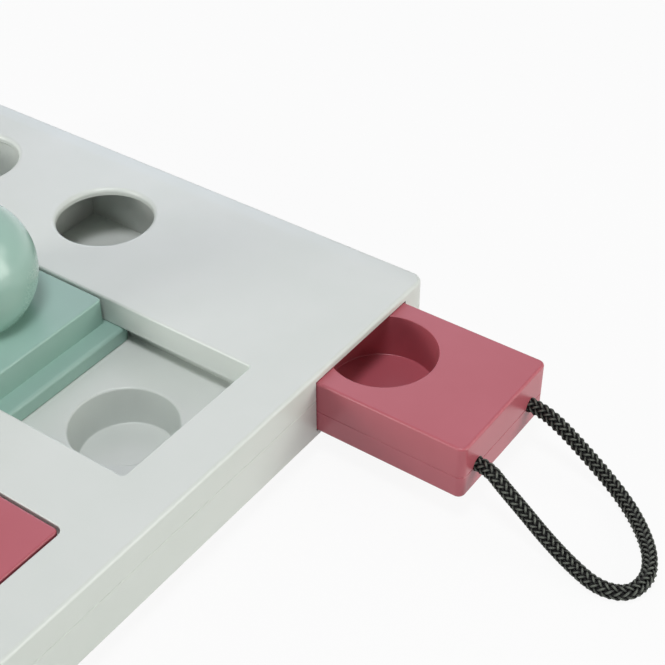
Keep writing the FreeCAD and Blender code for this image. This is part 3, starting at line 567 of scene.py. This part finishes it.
@dataclass
class Braid:
    """A round braid over a core, of two sets of yarns that pass over two and under two."""

    outer: float
    lay: float = 15.0 * MM
    carriers: int = 8
    yarn_width: float = 0.45 * MM
    yarn_height: float = 0.40 * MM
    weave: float = 0.38 * MM
    sunk_share: float = 0.5
    sides: int = 8

    @staticmethod
    def resample(line: Sequence[Vector], count: int) -> list:
        """Space points evenly along a line.

        Args:
            line: The line's points.
            count: How many steps to make.

        Returns:
            Pairs of a point and its distance along the line.
        """
        marks = [0.0]
        for start, end in zip(line, line[1:]):
            marks.append(marks[-1] + (end - start).length)
        total, index, result = marks[-1], 0, []
        for step in range(count + 1):
            target = total * step / count
            while index < len(line) - 2 and marks[index + 1] < target:
                index += 1
            share = (target - marks[index]) / (marks[index + 1] - marks[index])
            result.append((line[index].lerp(line[index + 1], share), target))
        return result

    @staticmethod
    def frames(points: Sequence[Vector]) -> list:
        """Carry a frame along a line without twist.

        Args:
            points: The line's points.

        Returns:
            For each point its first and second cross direction.
        """
        tangents = [(after - before).normalized()
                    for before, after in zip([points[0], *points[:-1]], [*points[1:], points[-1]])]
        first = Vector((0.0, 0.0, 1.0))
        result = []
        for tangent in tangents:
            first = (first - tangent * first.dot(tangent)).normalized()
            result.append((first.copy(), tangent.cross(first)))
        return result

    def strand(self, centres: Sequence[tuple], frames: Sequence[tuple], phase: float,
               turn: int) -> tuple:
        """Make one carrier's yarn, or the straight core.

        Args:
            centres: Points along the cord with their distances.
            frames: Cross directions at those points.
            phase: The carrier's angle at the start.
            turn: 1 for one way round, -1 for the other and 0 for the core.

        Returns:
            Its vertices, their rise, its faces and texture places.
        """
        middle_radius = self.outer - self.yarn_height - self.weave
        lowest = middle_radius - self.sunk_share * self.weave
        reach, width, height = middle_radius, self.yarn_width, self.yarn_height
        if not turn:
            reach, width, height = 0.0, lowest, lowest
        vertices, rises, faces, places = [], [], [], []
        for (centre, mark), (across, up) in zip(centres, frames):
            angle = phase + turn * math.tau * mark / self.lay
            lift = turn * math.cos(self.carriers / 2 * angle - math.pi / 4)
            out = across * math.cos(angle) + up * math.sin(angle)
            side = up * math.cos(angle) - across * math.sin(angle)
            middle = centre + out * (reach + self.weave * lift)
            for index in range(self.sides):
                around = math.tau * index / self.sides
                vertex = (middle + side * (width * math.cos(around))
                          + out * (height * math.sin(around)))
                vertices.append(vertex)
                rises.append(max(0.0, ((vertex - centre).length - lowest) / (self.outer - lowest)))
        for step in range(len(centres) - 1):
            base, ahead = step * self.sides, (step + 1) * self.sides
            start, end = centres[step][1], centres[step + 1][1]
            for index in range(self.sides):
                after = (index + 1) % self.sides
                low, high = index / self.sides, (index + 1) / self.sides
                faces.append((base + index, base + after, ahead + after, ahead + index))
                places.append([(start, low), (start, high), (end, high), (end, low)])
        last = (len(centres) - 1) * self.sides
        faces += [tuple(reversed(range(self.sides))), tuple(range(last, last + self.sides))]
        places += [[(mark, index / self.sides) for index in range(self.sides)]
                   for mark in (0.0, centres[-1][1])]
        return vertices, rises, faces, places

    def build(self, name: str, line: Sequence[Vector], steps: int) -> bpy.types.Object:
        """Braid a cord along a line.

        Args:
            name: The new object's name.
            line: The cord's middle line.
            steps: How many steps to make along it.

        Returns:
            The braid.
        """
        centres = self.resample(line, steps)
        frames = self.frames([point for point, _ in centres])
        vertices, rises, faces, places = [], [], [], []
        yarns = [(0.0, 0)] + [(math.tau * carrier / self.carriers, turn)
                              for turn in (1, -1) for carrier in range(self.carriers)]
        for phase, turn in yarns:
            points, heights, rings, marks = self.strand(centres, frames, phase, turn)
            faces += [tuple(index + len(vertices) for index in ring) for ring in rings]
            vertices += points
            rises += heights
            places += marks
        mesh = bpy.data.meshes.new(name)
        mesh.from_pydata(vertices, [], faces)
        layer = mesh.uv_layers.new(name="UVMap")
        layer.data.foreach_set("uv", [number for face in places for place in face
                                      for number in place])
        # Height of each yarn point above the lowest yarn; the yarn's finish reads it for its
        # painted shade and painted highlight.
        rise = mesh.attributes.new("rise", "FLOAT", "POINT")
        rise.data.foreach_set("value", rises)
        mesh.update()
        for polygon in mesh.polygons:
            polygon.use_smooth = True
        return placed(name, mesh)


@dataclass
class PullLoop:
    """The braided loop on the drawer's face and the knots behind it."""

    face: float = 123.6 * MM
    middle: float = 91.6 * MM
    hole_height: float = 16.5 * MM
    half_spacing: float = 14.35 * MM
    wall: float = 1.6 * MM
    lead: float = 3.6 * MM
    diameter: float = 4.0 * MM
    proud: float = 0.24 * MM
    steps: int = 420
    spline_order: int = 3
    spline_steps: int = 24
    knot_points: int = 96
    knot_steps: int = 150
    knot_rounds: int = 2
    knot_swings: int = 3
    knot_ring: float = 1.75 * MM
    knot_swing: float = 0.75 * MM
    knot_depth: float = 1.0 * MM
    knot_cord: float = 1.15 * MM
    knot_place: float = 2.3 * MM
    knot_lay: float = 7.4 * MM
    knot_carriers: int = 4
    knot_yarn_width: float = 0.52 * MM
    knot_yarn_height: float = 0.30 * MM
    knot_weave: float = 0.18 * MM
    route: tuple = (
        (8.4, -16.1, 14.8), (15.9, -17.3, 10.8), (24.2, -18.4, 5.7), (33.0, -20.3, 2.7),
        (42.0, -22.9, 2.4), (49.2, -20.3, 2.4), (51.0, -12.9, 2.4), (48.6, -6.1, 2.4),
        (44.1, -0.1, 2.4), (37.0, 6.7, 2.4), (28.3, 11.5, 4.2), (19.2, 12.8, 9.4),
        (10.8, 13.4, 14.4),
    )

    def control_points(self) -> list:
        """Return the route's points from the back of one hole to the back of the other."""
        near, far = self.middle - self.half_spacing, self.middle + self.half_spacing
        behind, ahead = self.face - self.wall, self.face + self.lead
        free = [Vector((self.face + out * MM, self.middle + across * MM, height * MM))
                for out, across, height in self.route]
        into, back = ([Vector((out, side, self.hole_height)) for out in depths]
                      for side, depths in ((near, (behind, ahead)), (far, (ahead, behind))))
        return [*into, *free, *back]

    def centreline(self) -> list:
        """Return points read from the route's smooth spline."""
        curve = bpy.data.curves.new("loop_route", "CURVE")
        curve.dimensions = "3D"
        curve.resolution_u = self.spline_steps
        spline = curve.splines.new("NURBS")
        points = self.control_points()
        spline.points.add(len(points) - 1)
        for target, point in zip(spline.points, points):
            target.co = (*point, 1.0)
        spline.order_u = self.spline_order
        spline.use_endpoint_u = True
        holder = bpy.data.objects.new("loop_route", curve)
        mesh = bpy.data.meshes.new_from_object(holder)
        line = [vertex.co.copy() for vertex in mesh.vertices]
        bpy.data.objects.remove(holder)
        bpy.data.curves.remove(curve)
        bpy.data.meshes.remove(mesh)
        return line

    def knot(self, name: str, side: int, material: bpy.types.Material) -> bpy.types.Object:
        """Tie one end of the loop in an overhand knot behind the drawer's face.

        Args:
            name: The knot's name, also of the node that it stands for.
            side: -1 for the near end and 1 for the far end.
            material: The yarn's finish.

        Returns:
            The knot.
        """
        middle = Vector((self.face - self.wall - self.knot_place,
                         self.middle + side * self.half_spacing, self.hole_height))
        line = []
        for step in range(self.knot_points + 1):
            turn = math.tau * step / self.knot_points
            swing, round_angle = self.knot_swings * turn, self.knot_rounds * turn
            reach = self.knot_ring + self.knot_swing * math.cos(swing)
            line.append(middle + Vector((self.knot_depth * math.sin(swing),
                                         reach * math.cos(round_angle),
                                         reach * math.sin(round_angle))))
        braid = Braid(self.knot_cord, lay=self.knot_lay, carriers=self.knot_carriers,
                      yarn_width=self.knot_yarn_width, yarn_height=self.knot_yarn_height,
                      weave=self.knot_weave)
        item = braid.build(f"{name}_tie", line, self.knot_steps)
        return Piece.finish(item, material, Slot.CORD, "drawer", name)

    def build(self, material: bpy.types.Material) -> bpy.types.Object:
        """Make the loop's braid and its knots.

        Args:
            material: The yarn's finish.

        Returns:
            The braid.
        """
        line = self.centreline()
        braid = Braid(self.diameter / 2 + self.proud).build("loop_braid", line, self.steps)
        Piece.finish(braid, material, Slot.CORD, "drawer", "pull_loop")
        knots = [self.knot("near_knot", -1, material), self.knot("far_knot", 1, material)]
        length = sum((end - start).length for start, end in zip(line, line[1:]))
        LOG.info("loop is %.1f mm long", length / MM)
        tuple(line[0])
        [tuple(point) for point in line]
        return braid


class Bench:
    """Modelling moves on one object, as by hand."""

    def __init__(self, name: str, add: Callable, **settings: object) -> None:
        """Add a primitive, with its place and turn in its mesh.

        Args:
            name: The object's name.
            add: The operator that adds the primitive.
            settings: The operator's settings.
        """
        if bpy.context.mode == "EDIT_MESH":
            bpy.ops.object.mode_set(mode="OBJECT")
        bpy.ops.object.select_all(action="DESELECT")
        add(**settings)
        self.item = bpy.context.object
        self.item.name = name
        bpy.ops.object.transform_apply(location=True, rotation=True, scale=True)

    def pick(self, test: Callable) -> None:
        """Select the faces that pass a test and stay in edit mode.

        Args:
            test: Takes a face and says whether it is wanted.
        """
        bpy.ops.object.mode_set(mode="EDIT")
        bpy.ops.mesh.select_mode(type="FACE")
        bpy.ops.mesh.select_all(action="DESELECT")
        bpy.ops.object.mode_set(mode="OBJECT")
        for polygon in self.item.data.polygons:
            polygon.select = test(polygon)
        bpy.ops.object.mode_set(mode="EDIT")

    def push(self, distance: float, scale: float = 1.0) -> None:
        """Extrude the selected faces along Z and scale the new ones about Z.

        Args:
            distance: How far, upwards.
            scale: Their new share of the old width.
        """
        bpy.ops.mesh.extrude_region_move(TRANSFORM_OT_translate={"value": (0.0, 0.0, distance)})
        bpy.ops.transform.resize(value=(scale, scale, 1.0))

    def combine(self, other: bpy.types.Object, operation: str) -> None:
        """Join another object to this one or cut it out, and delete the other.

        Args:
            other: The other object.
            operation: "UNION" or "DIFFERENCE".
        """
        bpy.ops.object.mode_set(mode="OBJECT")
        modifier = self.item.modifiers.new("combine", "BOOLEAN")
        modifier.operation = operation
        modifier.solver = "EXACT"
        modifier.object = other
        bpy.context.view_layer.objects.active = self.item
        bpy.ops.object.modifier_apply(modifier=modifier.name)
        bpy.data.objects.remove(other)

    def done(self, angle: float = 30.0) -> bpy.types.Object:
        """Leave edit mode and smooth all but the sharp edges.

        Args:
            angle: The least angle of a sharp edge in degrees.

        Returns:
            The object.
        """
        if bpy.context.mode == "EDIT_MESH":
            bpy.ops.object.mode_set(mode="OBJECT")
        select(self.item)
        bpy.ops.object.shade_smooth_by_angle(angle=math.radians(angle))
        return self.item


def solids(node: str) -> list:
    """Find the separate solids of a CAD node.

    Args:
        node: The node's name.

    Returns:
        The lowest and highest corner of each.
    """
    work = bmesh.new()
    work.from_mesh(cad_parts[node].data)
    bmesh.ops.remove_doubles(work, verts=work.verts, dist=SAME_PLACE)
    left, boxes = set(work.verts), []
    while left:
        open_list, island = [left.pop()], []
        while open_list:
            vertex = open_list.pop()
            island.append(vertex.co.copy())
            for edge in vertex.link_edges:
                other = edge.other_vert(vertex)
                if other in left:
                    left.remove(other)
                    open_list.append(other)
        boxes.append(tuple(Vector([pick(point[axis] for point in island) for axis in range(3)])
                           for pick in (min, max)))
    work.free()
    return sorted(boxes, key=lambda box: tuple(box[0]))


def under_middle(box: tuple) -> Matrix:
    """Return the move from the origin to the middle of a box's underside.

    Args:
        box: The box's lowest and highest corner.

    Returns:
        The move.
    """
    low, high = box
    return Matrix.Translation(((low.x + high.x) / 2, (low.y + high.y) / 2, low.z))


def copies(name: str, model: bpy.types.Object, moves: Sequence[Matrix]) -> bpy.types.Object:
    """Copy a model to several places and join the copies.

    Args:
        name: The joined object's name.
        model: What is copied; it is deleted.
        moves: Where each copy goes.

    Returns:
        The joined object.
    """
    made = []
    for move in moves:
        mesh = model.data.copy()
        mesh.transform(move)
        made.append(placed(name, mesh))
    bpy.data.objects.remove(model)
    select(*made)
    if len(made) > 1:
        bpy.ops.object.join()
    return made[0]


class Head(Enum):
    """Shapes of screw head."""

    PAN = "pan"
    FLAT = "flat"


@dataclass
class ScrewSet:
    """The screws of one node, driven from below with a cross recess."""

    node: str
    body: str
    head: Head
    head_radius: float
    head_height: float
    shank_radius: float
    pitch: float = 0.9 * MM
    plain_pitches: int = 2
    thread_depth: float = 0.16
    flank_share: float = 0.35
    root_share: float = 0.30
    tip_share: float = 0.25
    rounding_share: float = 0.42
    rounding_steps: int = 4
    recess_reach: float = 0.62
    recess_width: float = 0.21
    recess_depth: float = 0.62
    recess_taper: float = 0.55
    recess_above: float = 0.3 * MM
    recess_start: float = 0.02 * MM
    turn_apart: float = 0.7
    sharp_angle: float = 40.0
    sides: int = 28

    def recess(self) -> bpy.types.Object:
        """Return the tapered cross that is cut out of the head."""
        reach, width = self.head_radius * self.recess_reach, self.head_radius * self.recess_width
        bars = []
        for turn in (0.0, math.pi / 2):
            bar = Bench("recess", bpy.ops.mesh.primitive_cube_add, size=1.0,
                        scale=(2 * reach, width, self.recess_start),
                        location=(0.0, 0.0, self.recess_above))
            bar.pick(lambda face: face.normal.z < -SQUARE_ON)
            bar.push(-self.recess_above)
            bar.push(-self.head_height * self.recess_depth, self.recess_taper)
            bpy.ops.object.mode_set(mode="OBJECT")
            bar.item.data.transform(Matrix.Rotation(turn, 4, "Z"))
            bars.append(bar)
        first, second = bars
        first.combine(second.item, "UNION")
        return first.item

    def model(self, length: float) -> bpy.types.Object:
        """Model one screw, its head's face at the origin and facing up.

        Args:
            length: From the head's face to the tip.

        Returns:
            The screw.
        """
        screw = Bench("screw", bpy.ops.mesh.primitive_cylinder_add, vertices=self.sides,
                      radius=self.head_radius, depth=self.head_height,
                      location=(0.0, 0.0, -self.head_height / 2))
        if self.head is Head.PAN:
            screw.pick(lambda face: face.normal.z > SQUARE_ON)
            bpy.ops.mesh.bevel(offset=self.head_height * self.rounding_share,
                               segments=self.rounding_steps, affect="EDGES")
        screw.pick(lambda face: face.normal.z < -SQUARE_ON)
        if self.head is Head.FLAT:
            share = self.shank_radius / self.head_radius
            bpy.ops.transform.resize(value=(share, share, 1.0))
        else:
            bpy.ops.mesh.inset(thickness=self.head_radius - self.shank_radius)
        plain = self.plain_pitches * self.pitch
        screw.push(-plain)
        turns = max(1, int((length - self.head_height - plain) / self.pitch) - 1)
        root = 1.0 - self.thread_depth
        for _ in range(turns):
            screw.push(-self.pitch * self.flank_share, root)
            screw.push(-self.pitch * self.root_share)
            screw.push(-self.pitch * self.flank_share, 1.0 / root)
        screw.push(-(length - self.head_height - plain - turns * self.pitch), self.tip_share)
        screw.combine(self.recess(), "DIFFERENCE")
        return screw.done(self.sharp_angle)

    def build(self, material: bpy.types.Material) -> bpy.types.Object:
        """Put a screw where each solid of the node is.

        Args:
            material: Their finish.

        Returns:
            The joined screws.
        """
        boxes = solids(self.node)
        low, high = boxes[0]
        screw = self.model(high.z - low.z)
        moves = [under_middle(box) @ Matrix.Rotation(math.pi, 4, "X")
                 @ Matrix.Rotation(self.turn_apart * index, 4, "Z")
                 for index, box in enumerate(boxes)]
        item = copies(f"{self.node}_cross", screw, moves)
        return Piece.finish(item, material, Slot.STEEL, self.body, self.node)


SCREWS = (
    ScrewSet("case_screws", "board", Head.PAN, head_radius=2.4 * MM, head_height=1.8 * MM,
             shank_radius=1.1 * MM),
    ScrewSet("cover_screws", "board", Head.FLAT, head_radius=2.0 * MM, head_height=0.9 * MM,
             shank_radius=1.1 * MM),
    ScrewSet("drawer_screws", "drawer", Head.PAN, head_radius=1.9 * MM, head_height=1.1 * MM,
             shank_radius=0.9 * MM),
    ScrewSet("knob_screw", "carriage", Head.PAN, head_radius=3.8 * MM, head_height=2.2 * MM,
             shank_radius=2.0 * MM),
)


@dataclass
class Feet:
    """Round pads with a rolled edge and a shallow dish."""

    edge: float = 0.28 * MM
    dish: float = 0.12 * MM
    rim: float = 1.3 * MM
    round_steps: int = 3
    sides: int = 48

    def build(self, material: bpy.types.Material) -> bpy.types.Object:
        """Put a foot where each solid of the node is.

        Args:
            material: Their finish.

        Returns:
            The joined feet.
        """
        boxes = solids("rubber_feet")
        low, high = boxes[0]
        radius, height = (high.x - low.x) / 2, high.z - low.z
        foot = Bench("foot", bpy.ops.mesh.primitive_cylinder_add, vertices=self.sides,
                     radius=radius, depth=height, location=(0.0, 0.0, height / 2))
        foot.pick(lambda face: face.normal.z < -SQUARE_ON)
        bpy.ops.mesh.bevel(offset=self.edge, segments=self.round_steps, affect="EDGES")
        foot.pick(lambda face: face.normal.z < -FLAT_ON)
        bpy.ops.mesh.inset(thickness=self.rim)
        bpy.ops.mesh.inset(thickness=self.dish * 2)
        bpy.ops.transform.translate(value=(0.0, 0.0, self.dish))
        item = copies("feet_pads", foot.done(), [under_middle(box) for box in boxes])
        return Piece.finish(item, material, Slot.RUBBER, "board", "rubber_feet")


@dataclass
class HingePin:
    """A flap's pin with rounded ends."""

    side: str
    round_off: float = 0.35 * MM
    round_steps: int = 3
    sides: int = 32

    def build(self, material: bpy.types.Material) -> bpy.types.Object:
        """Model the pin where its node is.

        Args:
            material: Its finish.

        Returns:
            The pin.
        """
        node = f"{self.side}_flap_pin"
        low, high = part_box(node)
        middle = (Vector(low) + Vector(high)) / 2
        pin = Bench(f"{node}_rod", bpy.ops.mesh.primitive_cylinder_add, vertices=self.sides,
                    radius=(high[2] - low[2]) / 2, depth=high[0] - low[0], location=middle,
                    rotation=(0.0, math.pi / 2, 0.0))
        pin.pick(lambda face: abs(face.normal.x) > SQUARE_ON)
        bpy.ops.mesh.bevel(offset=self.round_off, segments=self.round_steps, affect="EDGES")
        return Piece.finish(pin.done(), material, Slot.STEEL, "board", node)


@dataclass(frozen=True)
class Lamp:
    """One soft square lamp: its direction in degrees, its side in metres, its power and tint."""

    name: str
    bearing: float
    rise: float
    size: float
    power: float
    tint: tuple


@dataclass
class Studio:
    """Camera, floor, world and lamps."""

    position: tuple = (0.247507, -0.163677, 0.278207)
    right: tuple = (0.815745, 0.578409, -0.001685)
    down: tuple = (0.362499, -0.513507, -0.777756)
    ahead: tuple = (-0.450726, 0.633840, -0.628564)
    lens: float = SENSOR_WIDTH * FOCAL_LENGTH_PIXELS / PICTURE_PIXELS
    nearest: float = 0.01
    furthest: float = 10.0
    white: tuple = (1.0, 1.0, 1.0, 1.0)
    floor_side: float = 4.0
    floor_tone: tuple = (0.70, 0.70, 0.70, 1.0)
    floor_white: float = 0.92
    world_white: float = 0.97
    mirrored_world: float = 0.6
    ambient: float = 0.06
    reach: float = 1.15
    lamps: tuple = (
        Lamp("high", -60.0, 78.0, 0.30, 6.0, (0.97, 0.96, 1.0)),
        Lamp("key", -41.0, 67.0, 0.40, 1.1, (0.95, 1.0, 0.92)),
        Lamp("near", -122.0, 14.0, 0.50, 7.6, (1.0, 1.0, 0.96)),
        Lamp("right", 17.0, 14.0, 0.70, 7.6, (0.99, 1.0, 0.93)),
        Lamp("near_left", -126.0, 40.0, 0.20, 0.5, (1.0, 0.98, 0.96)),
        Lamp("far_right", 44.0, 27.0, 0.25, 0.6, (1.0, 0.98, 0.94)),
        Lamp("far_left", 125.0, 39.0, 0.70, 1.5, (0.96, 0.86, 1.0)),
        Lamp("far", 128.0, 17.0, 0.45, 1.05, (0.62, 0.78, 1.0)),
    )
    target: tuple = (0.03, 0.03, 0.02)

    def camera(self) -> None:
        """Set the camera where the photograph was taken from."""
        lens = bpy.data.cameras.new("camera")
        lens.sensor_width = SENSOR_WIDTH
        lens.lens = self.lens
        lens.clip_start, lens.clip_end = self.nearest, self.furthest
        camera = placed("camera", lens)
        columns = [Vector(self.right), -Vector(self.down), -Vector(self.ahead)]
        turn = Matrix(columns).transposed()
        camera.matrix_world = Matrix.Translation(self.position) @ turn.to_4x4()
        bpy.context.scene.camera = camera

    def floor(self) -> None:
        """Lay the pale floor."""
        bpy.ops.mesh.primitive_plane_add(size=self.floor_side, location=(0.0, 0.0, 0.0))
        floor = bpy.context.object
        floor.name = "floor"
        shader = Shader.material("floor_white")
        plain = shader.node("ShaderNodeBsdfDiffuse", {}, {"Color": self.floor_tone})
        glow = shader.node("ShaderNodeEmission", {}, {"Color": self.white, "Strength": 1.0})
        share = shader.seen(self.floor_white, self.floor_white)
        shader.close(shader.node("ShaderNodeMixShader", {}, {0: share, 1: plain, 2: glow}))
        floor.data.materials.append(shader.holder)

    def world(self) -> None:
        """Light the scene evenly and show white behind it."""
        world = bpy.data.worlds.new("studio")
        bpy.context.scene.world = world
        shader = Shader(world, "ShaderNodeOutputWorld")
        even, back = (shader.node("ShaderNodeBackground", {},
                                  {"Color": self.white, "Strength": strength})
                      for strength in (self.ambient, self.world_white))
        share = shader.seen(1.0, self.mirrored_world)
        shader.close(shader.node("ShaderNodeMixShader", {}, {0: share, 1: even, 2: back}))

    def hang(self, lamp: Lamp) -> None:
        """Hang one soft lamp that points at the object.

        Args:
            lamp: Its direction and light.
        """
        light = bpy.data.lights.new(lamp.name, "AREA")
        light.energy, light.size, light.color = lamp.power, lamp.size, lamp.tint
        item = placed(lamp.name, light)
        bearing, rise = math.radians(lamp.bearing), math.radians(lamp.rise)
        away = Vector((math.cos(rise) * math.cos(bearing), math.cos(rise) * math.sin(bearing),
                       math.sin(rise)))
        item.location = Vector(self.target) + self.reach * away
        item.rotation_euler = (-away).to_track_quat("-Z", "Y").to_euler()

    def build(self) -> None:
        """Make all of it."""
        self.camera()
        self.floor()
        self.world()
        for lamp in self.lamps:
            self.hang(lamp)
        bpy.context.scene.view_settings.view_transform = "Standard"


def main() -> None:
    """Dress the frame, add the pieces and set the studio."""
    Studio().build()
    grey, pink, mint = GREY_PLASTIC.build(), PINK_PLASTIC.build(), MINT_PLASTIC.build()
    gloss, yarn = MINT_GLOSS.build(), BLACK_CORD.build()
    Piece.dress("top_shell", SHELL_PLASTIC.build())
    rubber, steel = FOOT_RUBBER.build(), SCREW_STEEL.build()
    PullLoop().build(yarn)
    for node in ("base_tray", "bottom_cover"):
        Piece.dress(node, grey)
    for node in ("drawer_body", "drawer_base", "right_flap", "middle_flap", "left_flap"):
        Piece.dress(node, pink)
    Piece.dress("slider", mint)
    Piece.dress("ball_knob", gloss)
    Feet().build(rubber)
    for screws in SCREWS:
        screws.build(steel)
    for side in ("right", "middle", "left"):
        HingePin(side).build(steel)


if __name__ == "__main__":
    logging.basicConfig(level=logging.INFO, format="%(message)s")
    main()
